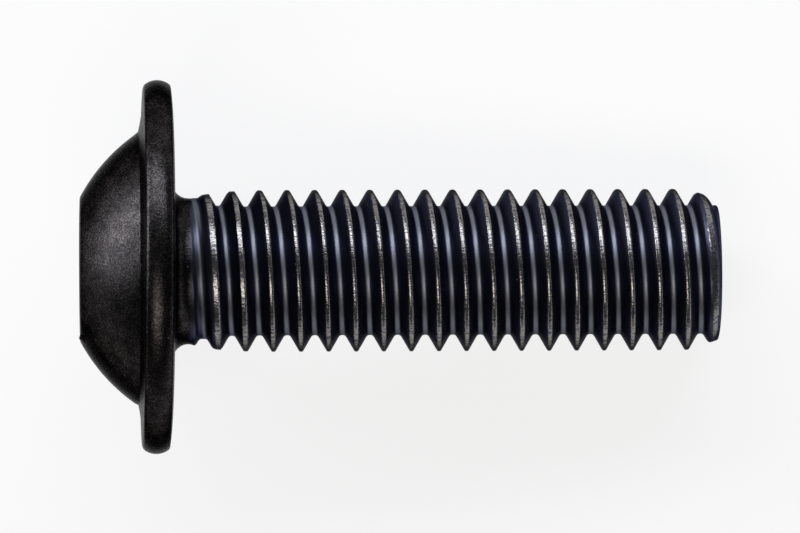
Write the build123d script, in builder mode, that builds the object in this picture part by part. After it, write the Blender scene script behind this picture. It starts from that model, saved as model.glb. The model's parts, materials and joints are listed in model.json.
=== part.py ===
from build123d import *

import os
from math import asin, atan2, cos, degrees, hypot, radians, sin, tan

# Flanged button head screw with a hex socket: one forged and thread-rolled piece of steel.
# It is built about its own axis, with Z = 0 on the bearing face under the flange, the shank
# towards +Z and the head towards -Z. Then it is laid on its side, where it rests on the
# flange's rim and on the shoulder of its point. The shank's outline runs along the thread's
# crests. All sizes are in millimetres.

# Shank
thread_diameter = 5.87  # over the crests
shank_length = 19.78  # bearing face to tip
neck_step = 0.297  # the crests stand this far proud of the neck, on the radius
neck_length = 0.66
neck_fillet = 0.57
first_crest_step = 0.14  # the first crest is this much under full height
first_crest_rise = 0.58  # end of the neck to the first crest
crest_growth_length = 3.4  # end of the neck to the first crest of full height

# Rolled point
point_length = 1.11
point_edge_step = 0.375  # from the crests in to the edge of the flat end face
point_shoulder_radius = 1.50  # rounds the shank into the point's cone
point_edge_radius = 0.08

# Flange
flange_diameter = 13.52
rim_widest_height = 0.55
rim_lower_height = 0.09
rim_lower_inset = 0.18
rim_upper_height = 1.04
rim_upper_inset = 0.17
rim_corner_radius = 0.10
underside_roll_width = 1.35  # the underside curls up over this width, inside the rim
flange_top_inset = 0.30
flange_top_height = 1.09
flange_top_sag = 0.05  # hollow of the flange's top between rim and dome

# Button dome
head_height = 3.345
dome_diameter = 9.88
dome_base_height = 1.24
dome_radius = 6.50
top_flat_diameter = 5.20
top_flat_edge_radius = 0.15

# Hex socket, punched, with a shallow cone for a floor and a countersunk mouth
socket_across_flats = 4.0
socket_depth = 2.10
socket_floor_step = 0.10  # the cone begins this far inside the flats
socket_floor_fall = 0.55
socket_mouth_margin = 0.05  # the countersink reaches this far past the hexagon's corners
socket_mouth_depth = 0.20

crest_radius = thread_diameter / 2
neck_radius = crest_radius - neck_step
rim_radius = flange_diameter / 2
point_angle = atan2(point_edge_step, point_length)
point_shoulder_length = point_shoulder_radius * tan(point_angle / 2)
socket_floor_radius = socket_across_flats / 2 - socket_floor_step
socket_mouth_radius = socket_across_flats / 2 / cos(radians(30)) + socket_mouth_margin

# Outline that is turned about the axis, from the centre of the head's top round to the tip
with BuildSketch(Plane.XZ) as outline:
    with BuildLine():
        head_centre = (0, -head_height)
        flat_edge = (top_flat_diameter / 2, -head_height)
        dome_base = (dome_diameter / 2, -dome_base_height)
        flange_top_edge = (rim_radius - flange_top_inset, -flange_top_height)
        flange_top_middle = (
            (dome_base[0] + flange_top_edge[0]) / 2,
            (dome_base[1] + flange_top_edge[1]) / 2 + flange_top_sag,
        )
        rim_upper = (rim_radius - rim_upper_inset, -rim_upper_height)
        rim_lower = (rim_radius - rim_lower_inset, -rim_lower_height)
        underside_edge = (rim_lower[0] - underside_roll_width, 0)
        fillet_outer = (neck_radius + neck_fillet, 0)
        fillet_inner = (neck_radius, neck_fillet)
        neck_end = (neck_radius, neck_length)
        first_crest = (crest_radius - first_crest_step, neck_length + first_crest_rise)
        full_crest = (crest_radius, neck_length + crest_growth_length)
        point_begin = (crest_radius, shank_length - point_length - point_shoulder_length)
        point_edge = (crest_radius - point_edge_step, shank_length)
        tip_centre = (0, shank_length)

        Line(head_centre, flat_edge)
        RadiusArc(flat_edge, dome_base, -dome_radius)
        ThreePointArc(dome_base, flange_top_middle, flange_top_edge)
        Line(flange_top_edge, rim_upper)
        crown = ThreePointArc(rim_upper, (rim_radius, -rim_widest_height), rim_lower)
        TangentArc(underside_edge, rim_lower, tangent=(1, 0))
        Line(underside_edge, fillet_outer)
        RadiusArc(fillet_outer, fillet_inner, -neck_fillet)
        Line(fillet_inner, neck_end)
        Line(neck_end, first_crest)
        TangentArc(full_crest, first_crest, tangent=(0, -1))
        Line(full_crest, point_begin)
        point_shoulder = JernArc(point_begin, (0, 1), point_shoulder_radius, degrees(point_angle))
        Line(point_shoulder @ 1, point_edge)
        Line(point_edge, tip_centre)
        Line(tip_centre, head_centre)
    make_face()
    for corner, rounding in (
        (flat_edge, top_flat_edge_radius),
        (flange_top_edge, rim_corner_radius),
        (rim_upper, rim_corner_radius),
        (rim_lower, rim_corner_radius),
        (point_edge, point_edge_radius),
    ):
        fillet(outline.vertices().sort_by_distance(corner)[0], radius=rounding)

# Hex socket and, turned about the axis, its countersunk mouth and its conical floor
with BuildPart() as socket:
    with BuildSketch(Plane.XY.offset(-head_height)):
        RegularPolygon(socket_across_flats / 2, 6, major_radius=False)
    extrude(amount=socket_depth)
    with BuildSketch(Plane.XZ):
        with BuildLine():
            Polyline(
                (0, -head_height),
                (socket_mouth_radius, -head_height),
                (socket_floor_radius, socket_mouth_depth - head_height),
                (socket_floor_radius, socket_depth - head_height),
                (0, socket_depth + socket_floor_fall - head_height),
                close=True,
            )
        make_face()
    revolve(axis=Axis.Z)

with BuildPart() as upright:
    add(outline.sketch)
    revolve(axis=Axis.Z)
    add(socket.part, mode=Mode.SUBTRACT)

# How the screw lies: on the plane that touches the round of the rim and the point's shoulder
crown_centre = crown.arc_center
point_centre = point_shoulder.arc_center
along = point_centre.Y - crown_centre.Y
inward = crown_centre.X - point_centre.X
centre_distance = hypot(along, inward)
lying_tilt = atan2(inward, along) + asin((crown.radius - point_shoulder.radius) / centre_distance)
lying = Plane(origin=(0, 0, 0), x_dir=(0, 1, 0), z_dir=(cos(lying_tilt), 0, -sin(lying_tilt)))

with BuildPart() as screw:
    add(upright.part.moved(lying.location))
screw.part.label = "screw"

os.makedirs("parts", exist_ok=True)
export_step(screw.part, "parts/screw.step")
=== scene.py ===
# Flanged button head screw of blackened steel, lying on a pale floor under soft lights.
# The screw is modelled upright, one unit to the millimetre, with Z = 0 on the bearing face
# under its flange and the shank towards +Z. Then it is laid down and scaled to metres, to
# lie where the frame has it.

import json
from math import atan2, ceil, cos, exp, floor, pi, radians, sin, sqrt, tan

import bpy
from mathutils import Matrix, Vector


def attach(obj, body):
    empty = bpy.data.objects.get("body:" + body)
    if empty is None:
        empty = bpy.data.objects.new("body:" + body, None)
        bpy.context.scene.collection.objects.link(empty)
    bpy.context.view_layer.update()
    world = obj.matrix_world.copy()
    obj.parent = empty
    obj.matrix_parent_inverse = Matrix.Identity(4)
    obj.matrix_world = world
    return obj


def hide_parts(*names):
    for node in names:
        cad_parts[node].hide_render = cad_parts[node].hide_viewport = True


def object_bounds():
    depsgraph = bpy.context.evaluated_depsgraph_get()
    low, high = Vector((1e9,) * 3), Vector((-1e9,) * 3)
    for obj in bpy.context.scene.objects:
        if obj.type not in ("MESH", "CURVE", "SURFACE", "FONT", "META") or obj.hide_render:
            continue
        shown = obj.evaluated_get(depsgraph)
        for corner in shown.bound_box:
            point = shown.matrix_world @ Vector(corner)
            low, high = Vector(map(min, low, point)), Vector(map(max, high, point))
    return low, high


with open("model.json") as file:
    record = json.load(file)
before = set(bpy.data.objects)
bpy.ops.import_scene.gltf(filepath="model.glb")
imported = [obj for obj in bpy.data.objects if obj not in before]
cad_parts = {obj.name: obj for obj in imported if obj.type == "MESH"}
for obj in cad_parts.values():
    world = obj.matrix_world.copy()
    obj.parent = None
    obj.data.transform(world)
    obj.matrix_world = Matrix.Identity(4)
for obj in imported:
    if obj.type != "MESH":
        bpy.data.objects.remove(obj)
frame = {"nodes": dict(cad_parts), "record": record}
cad_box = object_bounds()

# ---- Sizes that the frame gives, in millimetres ----

MM = 0.001
mounts = {mount["name"]: mount for mount in frame["record"]["mounts"]}
screw_axis = Vector(mounts["bearing_face"]["axis"]).normalized()
cad_corners = [vertex.co for vertex in frame["nodes"]["screw"].data.vertices]
stations = [corner.dot(screw_axis) / MM for corner in cad_corners]
reaches = [(corner - corner.dot(screw_axis) * screw_axis).length / MM for corner in cad_corners]
shank_length = max(stations)
head_height = -min(stations)
rim_radius = max(reaches)
crest_radius = mounts["threaded_shank"]["dims"]["r_mm"]

# ---- Sizes of what the screw adds to the frame, in millimetres ----

# Thread: right-handed, rolled, with a round root and a round crest tangent to its flanks
PITCH = 1.0
THREAD_DEPTH = 0.604
ROOT_ROUND_RADIUS = 0.165
FLANK_ANGLE = radians(30)
THREAD_START = 0.645  # height of a groove's middle on the side that lies towards +Y
ROOT_STEPS = 4  # spans of the outline over half a root, one flank and half a crest
FLANK_STEPS = 4
CREST_STEPS = 3
TURN_STEPS = 120  # facets round the screw

# First turns: the groove sinks and the crests grow
NECK_STEP = 0.297  # full crests stand this far proud of the neck
NECK_FILLET = 0.57
RUNOUT_BEGIN = 0.75  # the groove begins to sink at this height
GROOVE_SINKING = 0.42  # its missing depth falls to 1/e over this length
CREST_GROWTH = 0.92  # the crests' missing height falls to 1/e over this length
SETTLED_HEIGHT = 1.6  # the groove is wider below this height, on the head's side of its root
SETTLING_LENGTH = 0.5
ROOT_WIDENING = 0.085
CREST_LEAN = 0.5  # slope of the first crest's top, up towards the tip
CREST_LEVELLING = 0.55  # the slope falls to 1/e over this length
CREST_RIDGE = 0.08  # the slope ends this far before the crest's middle
CORNER_BLEND = 0.03  # rounds the crests' corners
POINT_BLEND = 0.18  # rounds what the point leaves of the last crest
POINT_BLEND_GROWTH = 0.4  # the one blend becomes the other over this length
THREAD_CUT = 0.60  # the threaded length is cut off here, in the neck, to join the head

# Rolled point
POINT_LENGTH = 1.11
POINT_EDGE_STEP = 0.375
POINT_SHOULDER_RADIUS = 1.50
POINT_EDGE_RADIUS = 0.08
POINT_EDGE_STEPS = 3
END_RING_SCALES = (0.7, 0.5, 0.4)  # of each ring of the end face, to the one outside it
END_TILT = radians(1.6)  # the wire was cropped a little askew
END_TILT_REACH = 0.35

# Head
RIM_WIDEST_HEIGHT = 0.55
RIM_LOWER_HEIGHT = 0.09
RIM_LOWER_INSET = 0.18
RIM_UPPER_HEIGHT = 1.04
RIM_UPPER_INSET = 0.17
UNDERSIDE_ROLL_WIDTH = 1.35
FLANGE_TOP_INSET = 0.30
FLANGE_TOP_HEIGHT = 1.09
FLANGE_TOP_SAG = 0.05
DOME_BASE_RADIUS = 4.94
DOME_BASE_HEIGHT = 1.24
DOME_RADIUS = 6.50
TOP_FLAT_RADIUS = 2.60
TOP_FLAT_EDGE_WIDTH = 0.06
RIM_EDGE_WIDTH = 0.05
FLANGE_OFFSET = 0.155  # the forged head sits a little off the shank, towards +Y
DOME_OFFSET = 0.076
OFFSET_BLEND_HEIGHT = 0.25  # the one offset becomes the other over this length
OFFSET_FULL_INSET = 1.0  # under the flange, the offset is whole this far inside the rim
FLANGE_TILT = radians(0.27)  # towards the tip on its +Y side
HEAD_TILT = radians(0.9)  # towards the tip on the side that faces down
BURR_ANGLE = radians(155.9)  # round from +Y over the side that faces up
BURR_WIDTH = 0.09
BURR_HEIGHT = 0.11
BURR_SLOPE = 1.2  # along the axis, to each 1 outwards

# Hex socket
SOCKET_APOTHEM = 2.0
SOCKET_DEPTH = 2.10
SOCKET_FLOOR_RADIUS = 1.90
SOCKET_FLOOR_FALL = 0.55
SOCKET_MOUTH_RADIUS = 2.36
SOCKET_MOUTH_DEPTH = 0.20
HEX_TURN = radians(60)

# Worn crests
WORN_LINE_SHIFT = 0.015  # the crests are worn this far towards the tip of their middle
FIRST_WORN_SHIFT = 0.06  # more on the first ones, falling to 1/e in a millimetre
FIRST_WORN_HEIGHT = THREAD_START + PITCH / 4  # no crest whose middle is below this is worn
UNMARKED = PITCH / 4  # stands for a flank, neither a worn crest nor a root

# Patterns of the black skin, in repeats to the millimetre
GRAINS = 17.0
PATCHES = 1.8
STRIPE_WANDERS = 5.0
NICKS = (3.0, 12.0, 12.0)  # along the screw's axis, and the two ways across it
DUST_CELLS = 2.0

# Meshes
MERGE_DISTANCE = 0.002
FINE_MERGE_DISTANCE = 0.0005
CUT_TOLERANCE = 0.0001
SHARP_ANGLE = radians(35)

# ---- Setting, in metres ----

FLOOR_RADIUS = 3.0
FLOOR_GLOW = 0.8  # the share of plain white in what is seen of it, beside its lit face
CAMERA_DISTANCE = 0.30
CAMERA_YAW = radians(3.7)  # from square to the screw's axis, towards its head
CAMERA_ROLL = 0.0035
FRAME_WIDTH = 28.96 * MM  # of what the camera sees at the screw
FRAME_STATION = 8.24 * MM  # along the screw's axis, of the middle of the picture
FRAME_RAISE = 0.145 * MM  # towards +Y, of the middle of the picture
WORLD_STRENGTH = 0.08
LIGHT_DISTANCE = 1.0
LIGHTS = (
    {
        "name": "cool_softbox",
        "elevation": radians(38),
        "azimuth": radians(90),
        "length": 1.5,
        "height": 0.38,
        "radiance": 6.2,
        "colour": "F2F5FF",
    },
    {
        "name": "side_softbox",
        "elevation": radians(13),
        "azimuth": radians(160),
        "length": 0.7,
        "height": 0.3,
        "radiance": 11.0,
        "colour": "F4F6FF",
    },
    {
        "name": "warm_softbox",
        "elevation": radians(63),
        "azimuth": radians(-95),
        "length": 0.7,
        "height": 0.32,
        "radiance": 4.8,
        "colour": "FFF8F2",
    },
)

root_radius = crest_radius - THREAD_DEPTH
neck_radius = crest_radius - NECK_STEP
axis_dip = -atan2(screw_axis.z, screw_axis.x)


# ---- Modelling tools ----


def deselect_all():
    """Leaves nothing selected, so that the next operator acts on one piece alone."""
    for thing in bpy.context.selected_objects:
        thing.select_set(False)


def make_active(piece):
    """Selects this piece alone, for the operators that act on the active one."""
    deselect_all()
    piece.select_set(True)
    bpy.context.view_layer.objects.active = piece


def draw_outline(name, points):
    """A chain of edges in the XZ plane through these (radius, height) points."""
    deselect_all()
    (radius, height), *others = points
    bpy.ops.mesh.primitive_plane_add(size=1, location=(0, 0, 0))
    outline = bpy.context.active_object
    outline.name = outline.data.name = name
    bpy.ops.object.mode_set(mode="EDIT")
    bpy.ops.mesh.select_all(action="SELECT")
    bpy.ops.mesh.merge(type="CENTER")
    bpy.ops.transform.translate(value=(radius, 0, height))
    for next_radius, next_height in others:
        step = (next_radius - radius, 0, next_height - height)
        bpy.ops.mesh.extrude_region_move(TRANSFORM_OT_translate={"value": step})
        radius, height = next_radius, next_height
    bpy.ops.object.mode_set(mode="OBJECT")
    return outline


def apply_modifier(piece, kind, **settings):
    """Adds a modifier with these settings to a piece, and applies it."""
    make_active(piece)
    modifier = piece.modifiers.new(kind.title(), kind)
    for key, value in settings.items():
        setattr(modifier, key, value)
    bpy.ops.object.modifier_apply(modifier=modifier.name)


def select_vertices(piece, wanted):
    """Opens the piece in edit mode with only the vertices selected that wanted(point) picks."""
    make_active(piece)
    bpy.ops.object.mode_set(mode="EDIT")
    bpy.ops.mesh.select_mode(type="VERT")
    bpy.ops.mesh.select_all(action="DESELECT")
    bpy.ops.object.mode_set(mode="OBJECT")
    for vertex in piece.data.vertices:
        vertex.select = wanted(vertex.co)
    bpy.ops.object.mode_set(mode="EDIT")


def select_open_edges(piece, wanted):
    """Opens it with only the edges of holes selected that have both ends picked by wanted."""
    select_vertices(piece, lambda point: False)
    bpy.ops.mesh.select_mode(type="EDGE")
    bpy.ops.object.mode_set(mode="OBJECT")
    mesh = piece.data
    faces_beside = [0] * len(mesh.edges)
    for loop in mesh.loops:
        faces_beside[loop.edge_index] += 1
    for edge, count in zip(mesh.edges, faces_beside):
        ends = [mesh.vertices[index].co for index in edge.vertices]
        edge.select = count == 1 and all(wanted(end) for end in ends)
    bpy.ops.object.mode_set(mode="EDIT")


def merge_doubles(piece, distance):
    """Merges points that lie this close together, and turns every face outwards."""
    make_active(piece)
    bpy.ops.object.mode_set(mode="EDIT")
    bpy.ops.mesh.select_all(action="SELECT")
    bpy.ops.mesh.remove_doubles(threshold=distance)
    bpy.ops.mesh.normals_make_consistent(inside=False)
    bpy.ops.object.mode_set(mode="OBJECT")


def soft_minimum(first, second, blend):
    """The smaller of two radii, with the corner between them rounded over blend."""
    overlap = max(blend - abs(first - second), 0) / blend
    return min(first, second) - overlap * overlap * blend / 4


def smooth_step(value):
    """Rises smoothly from 0 to 1 as the value does."""
    value = min(max(value, 0), 1)
    return value * value * (3 - 2 * value)


# ---- Thread ----

root_tangent_height = ROOT_ROUND_RADIUS * (1 - sin(FLANK_ANGLE))
root_tangent = ROOT_ROUND_RADIUS * cos(FLANK_ANGLE)
sharp_height = root_tangent_height + (PITCH / 2 - root_tangent) / tan(FLANK_ANGLE)
crest_round_radius = (sharp_height - THREAD_DEPTH) / (1 / sin(FLANK_ANGLE) - 1)
crest_tangent = PITCH / 2 - crest_round_radius * cos(FLANK_ANGLE)


def thread_height(distance):
    """Height over the root, this far along the axis from the middle of the groove.

    The rounds of root and crest are cubic curves that run smoothly into the flank.
    """
    distance = abs(distance)
    if distance < root_tangent:
        return root_tangent_height * (distance / root_tangent) ** 3
    if distance > crest_tangent:
        from_crest = (PITCH / 2 - distance) / (PITCH / 2 - crest_tangent)
        return THREAD_DEPTH - crest_round_radius * (1 - sin(FLANK_ANGLE)) * from_crest**3
    return root_tangent_height + (distance - root_tangent) / tan(FLANK_ANGLE)


def groove_distance(point):
    """How far a point lies from the middle of the nearest groove, towards the tip."""
    turn = atan2(point.y, point.x) / (2 * pi)
    phase = (point.z - THREAD_START) / PITCH - turn
    return (phase - floor(phase + 0.5)) * PITCH


def crest_distance(point):
    """How far a point lies from the middle of the nearest crest, towards the tip."""
    from_groove = groove_distance(point)
    return from_groove - PITCH / 2 if from_groove > 0 else from_groove + PITCH / 2


def crest_line(height):
    """Radius over the crests, which grow out of the neck."""
    return crest_radius - NECK_STEP * exp(min(THREAD_START - height, 0) / CREST_GROWTH)


def crest_lean(height):
    """Slope of the top of a crest whose middle is at this height: none on the neck."""
    beyond_start = height - THREAD_START
    levelling = exp((PITCH / 2 - beyond_start) / CREST_LEVELLING)
    return CREST_LEAN * levelling * smooth_step(beyond_start / CREST_LEVELLING)


point_angle = atan2(POINT_EDGE_STEP, POINT_LENGTH)


def point_line(height):
    """Radius of the point: a shoulder, and then a cone. Below it, a line clear of the crests."""
    shoulder_length = POINT_SHOULDER_RADIUS * tan(point_angle / 2)
    beyond = height - (shank_length - POINT_LENGTH - shoulder_length)
    if beyond < 0:
        return crest_radius + CORNER_BLEND
    if beyond < POINT_SHOULDER_RADIUS * sin(point_angle):
        fall = POINT_SHOULDER_RADIUS - sqrt(POINT_SHOULDER_RADIUS**2 - beyond**2)
        return crest_radius - fall
    return crest_radius - (beyond - shoulder_length) * tan(point_angle)


def pitch_outline():
    """Outline of the thread from the middle of one groove to the middle of the next."""
    distances = [root_tangent * step / ROOT_STEPS for step in range(ROOT_STEPS)]
    distances += [
        root_tangent + (crest_tangent - root_tangent) * step / FLANK_STEPS
        for step in range(FLANK_STEPS)
    ]
    distances += [
        crest_tangent + (PITCH / 2 - crest_tangent) * step / CREST_STEPS
        for step in range(CREST_STEPS)
    ]
    rising = [(root_radius + thread_height(distance), distance) for distance in distances]
    falling = [(radius, PITCH - distance) for radius, distance in reversed(rising)]
    return [*rising, (crest_radius, PITCH / 2), *falling]


def make_thread():
    """One pitch of the outline, turned up the whole shank and past both of its ends."""
    first_groove = THREAD_START - 2 * PITCH
    points = [(radius, first_groove + distance) for radius, distance in pitch_outline()]
    thread = draw_outline("thread", points)
    apply_modifier(
        thread,
        "SCREW",
        angle=2 * pi,
        screw_offset=PITCH,
        steps=TURN_STEPS,
        render_steps=TURN_STEPS,
        iterations=ceil((shank_length - first_groove) / PITCH) + 1,
        use_merge_vertices=False,
    )
    merge_doubles(thread, MERGE_DISTANCE)
    return thread


def shape_thread_ends(thread):
    """The groove sinks and the crests grow out of the neck, and the point takes them in."""
    for vertex in thread.data.vertices:
        place = vertex.co
        from_groove, from_crest = groove_distance(place), crest_distance(place)
        groove_height = place.z - from_groove
        still_to_sink = exp(-max(groove_height - RUNOUT_BEGIN, 0) / GROOVE_SINKING)
        floor_radius = root_radius + (neck_radius - root_radius) * still_to_sink
        unsettled = smooth_step((SETTLED_HEIGHT - groove_height) / SETTLING_LENGTH)
        if from_groove < 0:
            from_groove = min(from_groove + ROOT_WIDENING * unsettled, 0)
        wall = floor_radius + thread_height(from_groove)
        lean = crest_lean(place.z - from_crest)
        crest_top = crest_line(place.z) + lean * min(from_crest + CREST_RIDGE, 0)
        crest_top = max(crest_top, neck_radius)
        radius = soft_minimum(wall, crest_top + CORNER_BLEND / 4, CORNER_BLEND)
        on_point = smooth_step((place.z - shank_length + POINT_LENGTH) / POINT_BLEND_GROWTH)
        blend = CORNER_BLEND + (POINT_BLEND - CORNER_BLEND) * on_point
        radius = soft_minimum(radius, point_line(place.z), blend)
        scale = radius / place.xy.length
        vertex.co = (place.x * scale, place.y * scale, place.z)


def cut_thread(thread):
    """Cuts it to length, in the neck and under the edge of the end face."""
    for height, end in ((THREAD_CUT, "inner"), (shank_length - POINT_EDGE_RADIUS, "outer")):
        make_active(thread)
        bpy.ops.object.mode_set(mode="EDIT")
        bpy.ops.mesh.select_all(action="SELECT")
        bpy.ops.mesh.bisect(
            plane_co=(0, 0, height),
            plane_no=(0, 0, 1),
            clear_inner=end == "inner",
            clear_outer=end == "outer",
            threshold=CUT_TOLERANCE,
        )
        bpy.ops.object.mode_set(mode="OBJECT")


# ---- Head ----


def arc_through(start, middle, end, steps):
    """Points after start on the arc through these three, up to end."""
    (ax, ay), (bx, by), (cx, cy) = start, middle, end
    twice_area = 2 * (ax * (by - cy) + bx * (cy - ay) + cx * (ay - by))
    a_square, b_square, c_square = ax * ax + ay * ay, bx * bx + by * by, cx * cx + cy * cy
    centre_x = (a_square * (by - cy) + b_square * (cy - ay) + c_square * (ay - by)) / twice_area
    centre_y = (a_square * (cx - bx) + b_square * (ax - cx) + c_square * (bx - ax)) / twice_area
    radius = sqrt((ax - centre_x) ** 2 + (ay - centre_y) ** 2)
    first = atan2(ay - centre_y, ax - centre_x)
    sweep = atan2(cy - centre_y, cx - centre_x) - first
    sweep = (sweep + pi) % (2 * pi) - pi
    angles = [first + sweep * step / steps for step in range(1, steps + 1)]
    return [(centre_x + radius * cos(angle), centre_y + radius * sin(angle)) for angle in angles]


def arc_of_radius(start, end, radius, steps):
    """The same, for an arc of this radius that bulges to the left of the way from start to end."""
    chord_x, chord_y = end[0] - start[0], end[1] - start[1]
    chord = sqrt(chord_x**2 + chord_y**2)
    bulge = abs(radius) - sqrt(radius**2 - chord**2 / 4)
    bulge = bulge if radius > 0 else -bulge
    middle = (
        (start[0] + end[0]) / 2 - chord_y / chord * bulge,
        (start[1] + end[1]) / 2 + chord_x / chord * bulge,
    )
    return arc_through(start, middle, end, steps)


def straight(start, end, steps):
    """Points after start on the line to end."""
    return [
        (
            start[0] + (end[0] - start[0]) * step / steps,
            start[1] + (end[1] - start[1]) * step / steps,
        )
        for step in range(1, steps + 1)
    ]


def head_outline():
    """From the neck out round the flange, over the dome and into the socket to its floor."""
    neck_side = (neck_radius, NECK_FILLET)
    fillet_end = (neck_radius + NECK_FILLET, 0)
    rim_lower = (rim_radius - RIM_LOWER_INSET, -RIM_LOWER_HEIGHT)
    roll_begin = (rim_lower[0] - UNDERSIDE_ROLL_WIDTH, 0)
    roll_radius = (UNDERSIDE_ROLL_WIDTH**2 + RIM_LOWER_HEIGHT**2) / (2 * RIM_LOWER_HEIGHT)
    rim_widest = (rim_radius, -RIM_WIDEST_HEIGHT)
    rim_upper = (rim_radius - RIM_UPPER_INSET, -RIM_UPPER_HEIGHT)
    flange_edge = (rim_radius - FLANGE_TOP_INSET, -FLANGE_TOP_HEIGHT)
    dome_base = (DOME_BASE_RADIUS, -DOME_BASE_HEIGHT)
    flange_middle = (
        (flange_edge[0] + dome_base[0]) / 2,
        (flange_edge[1] + dome_base[1]) / 2 + FLANGE_TOP_SAG,
    )
    flat_edge = (TOP_FLAT_RADIUS, -head_height)
    mouth = (SOCKET_MOUTH_RADIUS, -head_height)
    throat = (SOCKET_APOTHEM, SOCKET_MOUTH_DEPTH - head_height)
    wall_foot = (SOCKET_APOTHEM, SOCKET_DEPTH - head_height)
    floor_edge = (SOCKET_FLOOR_RADIUS, SOCKET_DEPTH - head_height)
    floor_centre = (0, SOCKET_DEPTH + SOCKET_FLOOR_FALL - head_height)

    points = [neck_side]
    points += arc_of_radius(neck_side, fillet_end, -NECK_FILLET, 6)
    points += straight(fillet_end, roll_begin, 6)
    points += arc_of_radius(roll_begin, rim_lower, roll_radius, 5)
    points += arc_through(rim_lower, rim_widest, rim_upper, 10)
    points += straight(rim_upper, flange_edge, 1)
    points += arc_through(flange_edge, flange_middle, dome_base, 6)
    points += arc_of_radius(dome_base, flat_edge, DOME_RADIUS, 16)
    points += [mouth, throat]
    points += straight(throat, wall_foot, 5)
    points += [floor_edge]
    points += straight(floor_edge, floor_centre, 4)
    return points


def make_head():
    """The head's outline, spun round the axis, with its socket squared up to a hexagon."""
    head = draw_outline("head", head_outline())
    make_active(head)
    bpy.ops.object.mode_set(mode="EDIT")
    bpy.ops.mesh.select_all(action="SELECT")
    bpy.ops.mesh.spin(steps=TURN_STEPS, angle=2 * pi, center=(0, 0, 0), axis=(0, 0, 1))
    bpy.ops.object.mode_set(mode="OBJECT")
    merge_doubles(head, MERGE_DISTANCE)
    throat_height = SOCKET_MOUTH_DEPTH - head_height
    mouth_slope = SOCKET_MOUTH_DEPTH / (SOCKET_MOUTH_RADIUS - SOCKET_FLOOR_RADIUS)
    for vertex in head.data.vertices:
        radius = vertex.co.xy.length
        if abs(radius - SOCKET_APOTHEM) > MERGE_DISTANCE:
            continue
        turn = atan2(vertex.co.y, vertex.co.x) % HEX_TURN - HEX_TURN / 2
        wall_radius = SOCKET_APOTHEM / cos(turn)
        vertex.co.xy *= wall_radius / radius
        if abs(vertex.co.z - throat_height) < MERGE_DISTANCE:
            vertex.co.z = (SOCKET_MOUTH_RADIUS - wall_radius) * mouth_slope - head_height
    return head


def round_edges(piece, width, segments, wanted):
    """Bevels the edges that have both ends picked by wanted(point)."""
    select_vertices(piece, wanted)
    bpy.ops.mesh.select_mode(type="EDGE")
    bpy.ops.mesh.bevel(offset=width, segments=segments, affect="EDGES", clamp_overlap=True)
    bpy.ops.object.mode_set(mode="OBJECT")


def on_ring(radius, height):
    """Picks the points of one ring of the head."""
    return lambda point: (
        abs(point.xy.length - radius) < MERGE_DISTANCE and abs(point.z - height) < MERGE_DISTANCE
    )


def finish_head_edges(head):
    """Small rounds where the dies' faces meet."""
    round_edges(head, TOP_FLAT_EDGE_WIDTH, 3, on_ring(TOP_FLAT_RADIUS, -head_height))
    round_edges(head, RIM_EDGE_WIDTH, 2, on_ring(rim_radius - FLANGE_TOP_INSET, -FLANGE_TOP_HEIGHT))
    round_edges(head, RIM_EDGE_WIDTH, 2, on_ring(rim_radius - RIM_UPPER_INSET, -RIM_UPPER_HEIGHT))
    round_edges(head, RIM_EDGE_WIDTH, 2, on_ring(rim_radius - RIM_LOWER_INSET, -RIM_LOWER_HEIGHT))


def set_head_off_centre(head):
    """The dies that forge a head never quite line up with the shank."""
    reach = rim_radius - OFFSET_FULL_INSET - neck_radius
    for vertex in head.data.vertices:
        point = vertex.co
        from_shank = smooth_step((point.xy.length - neck_radius) / reach)
        to_dome = smooth_step((-FLANGE_TOP_HEIGHT - point.z) / OFFSET_BLEND_HEIGHT)
        if point.z < -FLANGE_TOP_HEIGHT:
            from_shank = 1
        point.z += from_shank * (1 - to_dome) * tan(FLANGE_TILT) * point.x
        point.z -= from_shank * tan(HEAD_TILT) * point.y
        point.x += from_shank * (FLANGE_OFFSET + (DOME_OFFSET - FLANGE_OFFSET) * to_dome)


def raise_burr(head):
    """A small burr that the dies left on the edge of the head's top."""
    out_x, out_y = cos(BURR_ANGLE), sin(BURR_ANGLE)
    middle = Vector((TOP_FLAT_RADIUS * out_x, TOP_FLAT_RADIUS * out_y, -head_height))
    select_vertices(head, lambda point: (point - middle).length < 4 * BURR_WIDTH)
    bpy.ops.mesh.subdivide(number_cuts=3)
    bpy.ops.object.mode_set(mode="OBJECT")
    outward = Vector((out_x, out_y, -BURR_SLOPE)).normalized()
    for vertex in head.data.vertices:
        away = (vertex.co - middle).length / BURR_WIDTH
        vertex.co += outward * BURR_HEIGHT * exp(-away * away)


def join_screw(thread, head):
    """Head and thread become one skin, closed between them and open at the tip."""
    make_active(thread)
    head.select_set(True)
    bpy.ops.object.join()
    screw = bpy.context.active_object
    screw.name = screw.data.name = "screw_skin"
    select_open_edges(screw, lambda point: point.z < shank_length / 2)
    bpy.ops.mesh.bridge_edge_loops()
    bpy.ops.object.mode_set(mode="OBJECT")
    return screw


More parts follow.
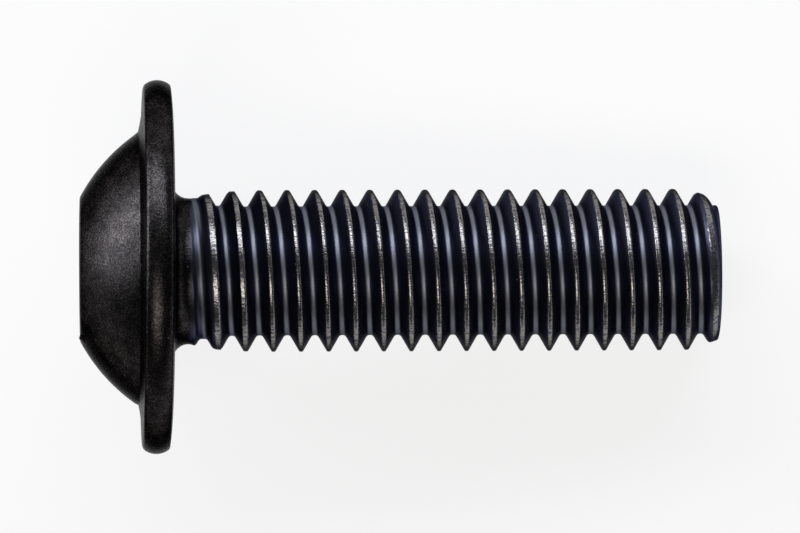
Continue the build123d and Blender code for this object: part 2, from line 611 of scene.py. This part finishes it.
def close_tip(screw):
    """Rounds the end face's edge, closes the face ring by ring, and tilts it a little."""
    select_open_edges(screw, lambda point: point.z > shank_length / 2)
    angle_step = pi / 2 / POINT_EDGE_STEPS
    for step in range(POINT_EDGE_STEPS):
        before, after = angle_step * step, angle_step * (step + 1)
        rise = POINT_EDGE_RADIUS * (sin(after) - sin(before))
        bpy.ops.mesh.extrude_region_move(TRANSFORM_OT_translate={"value": (0, 0, rise)})
        drawn_in = POINT_EDGE_RADIUS * (cos(before) - cos(after))
        scale = 1 - drawn_in / neck_radius
        bpy.ops.transform.resize(value=(scale, scale, 1), center_override=(0, 0, 0))
    for scale in END_RING_SCALES:
        bpy.ops.mesh.extrude_region_move()
        bpy.ops.transform.resize(value=(scale, scale, 1), center_override=(0, 0, 0))
    bpy.ops.mesh.merge(type="CENTER")
    bpy.ops.object.mode_set(mode="OBJECT")
    for vertex in screw.data.vertices:
        near_end = smooth_step((vertex.co.z - shank_length + END_TILT_REACH) / END_TILT_REACH)
        vertex.co.z -= near_end * tan(END_TILT) * vertex.co.y
    merge_doubles(screw, FINE_MERGE_DISTANCE)


def mark_thread(screw):
    """Writes how far each point lies along the axis from the worn line of its crest, in mm.

    The neck has no worn line, and the end face has no root either.
    """
    marks = screw.data.attributes.new("crest_distance", "FLOAT", "POINT")
    for vertex, mark in zip(screw.data.vertices, marks.data):
        shift = WORN_LINE_SHIFT + FIRST_WORN_SHIFT * exp(THREAD_START - vertex.co.z)
        from_crest = crest_distance(vertex.co - Vector((0, 0, shift)))
        mark.value = abs(from_crest)
        if vertex.co.z - from_crest < FIRST_WORN_HEIGHT:
            mark.value = max(mark.value, UNMARKED)
        if vertex.co.z > shank_length - 2 * POINT_EDGE_RADIUS:
            mark.value = UNMARKED


def lay_down(screw):
    """Turns the upright screw to lie along the frame's own axis, and scales it to metres."""
    side = Vector((0, 1, 0))
    lying = Matrix((side, screw_axis.cross(side), screw_axis)).transposed().to_4x4()
    screw.matrix_world = lying @ Matrix.Scale(MM, 4)
    make_active(screw)
    bpy.ops.object.transform_apply(location=True, rotation=True, scale=True)
    bpy.ops.object.shade_smooth_by_angle(angle=SHARP_ANGLE)


# ---- Materials ----


def linear(hex_colour):
    """An sRGB colour such as 8A5A2B as the linear light that the shaders take."""
    channels = [int(hex_colour[start : start + 2], 16) / 255 for start in (0, 2, 4)]
    return [c / 12.92 if c <= 0.04045 else ((c + 0.055) / 1.055) ** 2.4 for c in channels] + [1]


def add_node(tree, kind, settings=(), **links):
    """Adds a node, sets its properties and unlinked sockets, and links its named sockets."""
    node = tree.nodes.new("ShaderNode" + kind)
    for key, value in dict(settings).items():
        if isinstance(key, str) and hasattr(node, key):
            setattr(node, key, value)
        else:
            node.inputs[key].default_value = value
    for key, source in links.items():
        socket = node.inputs[int(key[1:]) if key[1:].isdigit() else key.replace("_", " ")]
        tree.links.new(source, socket)
    return node


def new_material(name):
    """An empty material and its node tree."""
    material = bpy.data.materials.new(name)
    material.use_nodes = True
    material.node_tree.nodes.clear()
    return material, material.node_tree


def blackened_steel():
    """Steel wire, cold-headed and thread-rolled, blackened in hot salts and oiled.

    Black oxide is a thin dark skin. On the thread, which the rolling dies have burnished, it
    has an even sheen with a blue tint. On the forged head it is a little brown, and fine pits
    and grain break up its shine. The thread's crests are rubbed through to bare steel, with
    nicks across them.
    """
    material, tree = new_material("black_oxide_steel_oiled")
    coords = add_node(tree, "TexCoord").outputs["Object"]
    # X along the screw's axis, one unit to the millimetre
    place = add_node(
        tree,
        "Mapping",
        {"Rotation": (0, -axis_dip, 0), "Scale": (1 / MM, 1 / MM, 1 / MM)},
        Vector=coords,
    ).outputs[0]
    # The head's skin gives way to the thread's in the neck
    station = add_node(tree, "SeparateXYZ", Vector=place).outputs["X"]
    rolled = add_node(
        tree,
        "MapRange",
        {"interpolation_type": "SMOOTHSTEP", "From Min": 0.50, "From Max": 0.70},
        Value=station,
    ).outputs[0]

    # Bare crests: the stripe is about 0.2 mm wide, its edges wander by up to 0.08 mm, and
    # short nicks run across it
    crest = add_node(tree, "Attribute", {"attribute_name": "crest_distance"}).outputs["Fac"]
    wander = add_node(
        tree, "TexNoise", {"Scale": STRIPE_WANDERS, "Detail": 3.0, "Roughness": 0.65}, Vector=place
    ).outputs["Fac"]
    shift = add_node(
        tree, "Math", {"operation": "MULTIPLY_ADD", 1: 0.16, 2: -0.08}, _0=wander
    ).outputs[0]
    edge = add_node(tree, "Math", {"operation": "ADD"}, _0=crest, _1=shift).outputs[0]
    rubbed = add_node(
        tree,
        "MapRange",
        {"interpolation_type": "SMOOTHSTEP", "From Min": 0.115, "From Max": 0.09},
        Value=edge,
    ).outputs[0]
    across = add_node(tree, "Mapping", {"Scale": NICKS}, Vector=place).outputs[0]
    nicks = add_node(
        tree, "TexNoise", {"Scale": 1.0, "Detail": 3.0, "Roughness": 0.7}, Vector=across
    ).outputs["Fac"]
    unnicked = add_node(
        tree,
        "MapRange",
        {"interpolation_type": "SMOOTHSTEP", "From Min": 0.39, "From Max": 0.51, "To Min": 0.12},
        Value=nicks,
    ).outputs[0]
    bare_share = add_node(
        tree, "Math", {"operation": "MULTIPLY"}, _0=rubbed, _1=unnicked
    ).outputs[0]
    scuffs = add_node(
        tree, "Bump", {"Strength": 0.7, "Distance": 0.02 * MM}, Height=nicks
    ).outputs[0]

    # Grain of the forged head, about 0.1 mm, under patches of about 1 mm
    grain = add_node(
        tree, "TexNoise", {"Scale": GRAINS, "Detail": 2.0, "Roughness": 0.7}, Vector=place
    ).outputs["Fac"]
    speckle = add_node(
        tree, "MapRange", {"From Min": 0.35, "From Max": 0.70}, Value=grain
    ).outputs[0]
    patches = add_node(
        tree, "TexNoise", {"Scale": PATCHES, "Detail": 5.0, "Roughness": 0.65}, Vector=place
    ).outputs["Fac"]
    pitted = add_node(
        tree, "Bump", {"Strength": 0.6, "Distance": 0.02 * MM}, Height=grain
    ).outputs[0]
    blotches = add_node(
        tree, "MapRange", {"From Min": 0.35, "From Max": 0.65, "To Min": 0.35}, Value=patches
    ).outputs[0]
    stain = add_node(tree, "Math", {"operation": "MULTIPLY"}, _0=speckle, _1=blotches).outputs[0]
    head_colour = add_node(
        tree, "Mix", {"data_type": "RGBA", 6: linear("151415"), 7: linear("4F4C4B")}, _0=stain
    ).outputs[2]
    head_rough = add_node(
        tree, "MapRange", {"To Min": 0.19, "To Max": 0.34}, Value=grain
    ).outputs[0]
    # The roots are brighter than the flanks: a painted sheen along them, softened by their greater
    # roughness
    in_root = add_node(
        tree,
        "MapRange",
        {"interpolation_type": "SMOOTHSTEP", "From Min": 0.37, "From Max": 0.46},
        Value=crest,
    ).outputs[0]
    # Painted sheen: the roots get a lighter colour than the flanks
    oxide_with_painted_root_sheen = add_node(
        tree, "Mix", {"data_type": "RGBA", 6: linear("444656"), 7: linear("777983")}, _0=in_root
    ).outputs[2]
    thread_rough = add_node(
        tree, "MapRange", {"To Min": 0.39, "To Max": 0.48}, Value=in_root
    ).outputs[0]

    forged = add_node(
        tree,
        "BsdfPrincipled",
        {"Metallic": 1.0, "Specular Tint": linear("888888")},
        Base_Color=head_colour,
        Roughness=head_rough,
        Normal=pitted,
    ).outputs[0]
    burnished = add_node(
        tree,
        "BsdfPrincipled",
        {"Metallic": 1.0, "Specular Tint": linear("808080")},
        Base_Color=oxide_with_painted_root_sheen,
        Roughness=thread_rough,
    ).outputs[0]
    oxide = add_node(tree, "MixShader", _0=rolled, _1=forged, _2=burnished).outputs[0]
    bare = add_node(
        tree,
        "BsdfPrincipled",
        {
            "Base Color": linear("8E8C88"),
            "Metallic": 1.0,
            "Roughness": 0.21,
            "Specular Tint": linear("1C1C1C"),
        },
        Normal=scuffs,
    ).outputs[0]
    clean = add_node(tree, "MixShader", _0=bare_share, _1=oxide, _2=bare).outputs[0]

    # Specks of dust on the oily skin, 0.03 mm across and about one to each 4 square millimetres
    nearest = add_node(tree, "TexVoronoi", {"Scale": DUST_CELLS}, Vector=place).outputs["Distance"]
    speck = add_node(
        tree, "MapRange", {"From Min": 0.04, "From Max": 0.02}, Value=nearest
    ).outputs[0]
    dust = add_node(tree, "BsdfDiffuse", {"Color": linear("8890A0")}).outputs[0]
    surface = add_node(tree, "MixShader", _0=speck, _1=clean, _2=dust).outputs[0]
    add_node(tree, "OutputMaterial", Surface=surface)
    return material


def pale_floor():
    """Matt white board. It looks white to the camera and in reflections, and keeps shadows."""
    material, tree = new_material("matt_white_board")
    board = add_node(tree, "BsdfDiffuse", {"Color": linear("F4F4F4")}).outputs[0]
    paths = add_node(tree, "LightPath").outputs
    seen = add_node(
        tree, "Math", {"operation": "MAXIMUM"}, _0=paths["Is Camera Ray"], _1=paths["Is Glossy Ray"]
    ).outputs[0]
    seen = add_node(
        tree, "Math", {"operation": "MAXIMUM"}, _0=seen, _1=paths["Is Transmission Ray"]
    ).outputs[0]
    share = add_node(
        tree, "Math", {"operation": "MULTIPLY", 1: FLOOR_GLOW}, _0=seen
    ).outputs[0]
    white = add_node(tree, "Emission").outputs[0]
    surface = add_node(tree, "MixShader", _0=share, _1=board, _2=white).outputs[0]
    add_node(tree, "OutputMaterial", Surface=surface)
    return material


# ---- Setting ----


def make_floor(height):
    """A round board, far wider than the picture."""
    deselect_all()
    bpy.ops.mesh.primitive_circle_add(
        vertices=64, radius=FLOOR_RADIUS, fill_type="NGON", location=(0, 0, height)
    )
    floor_board = bpy.context.active_object
    floor_board.name = floor_board.data.name = "floor"
    floor_board.data.materials.append(pale_floor())


def add_soft_light(name, aim, elevation, azimuth, length, height, radiance, colour):
    """A soft light that faces aim, its length level. Azimuth turns from +X towards +Y."""
    direction = Vector(
        (cos(elevation) * cos(azimuth), cos(elevation) * sin(azimuth), sin(elevation))
    )
    bpy.ops.object.light_add(type="AREA", location=aim + direction * LIGHT_DISTANCE)
    lamp = bpy.context.active_object
    lamp.name = lamp.data.name = name
    lamp.rotation_euler = direction.to_track_quat("Z", "Y").to_euler()
    lamp.data.shape = "RECTANGLE"
    lamp.data.size = length
    lamp.data.size_y = height
    lamp.data.energy = pi * radiance * length * height
    lamp.data.color = linear(colour)[:3]


def add_camera(aim, distance, frame_width):
    """Looks down on the screw, nearly square to its axis, with +Y up in the picture."""
    lean = axis_dip - CAMERA_YAW
    direction = Vector((sin(lean), 0, cos(lean)))
    bpy.ops.object.camera_add(location=aim + direction * distance)
    camera = bpy.context.active_object
    camera.name = camera.data.name = "camera"
    up = Vector((0, 1, 0))
    right = up.cross(direction)
    turned_up = up * cos(CAMERA_ROLL) + right * sin(CAMERA_ROLL)
    turned_right = turned_up.cross(direction)
    camera.matrix_world = (
        Matrix.Translation(camera.location)
        @ Matrix((turned_right, turned_up, direction)).transposed().to_4x4()
    )
    camera.data.lens = camera.data.sensor_width * distance / frame_width
    camera.data.clip_start = distance / 100
    camera.data.clip_end = distance * 100
    bpy.context.scene.camera = camera


# ---- The screw, and then its setting ----

thread = make_thread()
shape_thread_ends(thread)
cut_thread(thread)
head = make_head()
finish_head_edges(head)
set_head_off_centre(head)
raise_burr(head)
screw = join_screw(thread, head)
close_tip(screw)
mark_thread(screw)
lay_down(screw)
screw.data.materials.clear()
screw.data.materials.append(blackened_steel())
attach(screw, "root")
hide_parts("screw")

make_floor(cad_box[0][2])
frame_middle = screw_axis * FRAME_STATION + Vector((0, FRAME_RAISE, 0))
add_camera(frame_middle, CAMERA_DISTANCE, FRAME_WIDTH)
for light in LIGHTS:
    add_soft_light(aim=frame_middle, **light)

world = bpy.context.scene.world or bpy.data.worlds.new("studio")
bpy.context.scene.world = world
world.use_nodes = True
world.node_tree.nodes["Background"].inputs["Color"].default_value = linear("FFFFFF")
world.node_tree.nodes["Background"].inputs["Strength"].default_value = WORLD_STRENGTH
bpy.context.scene.view_settings.view_transform = "Standard"
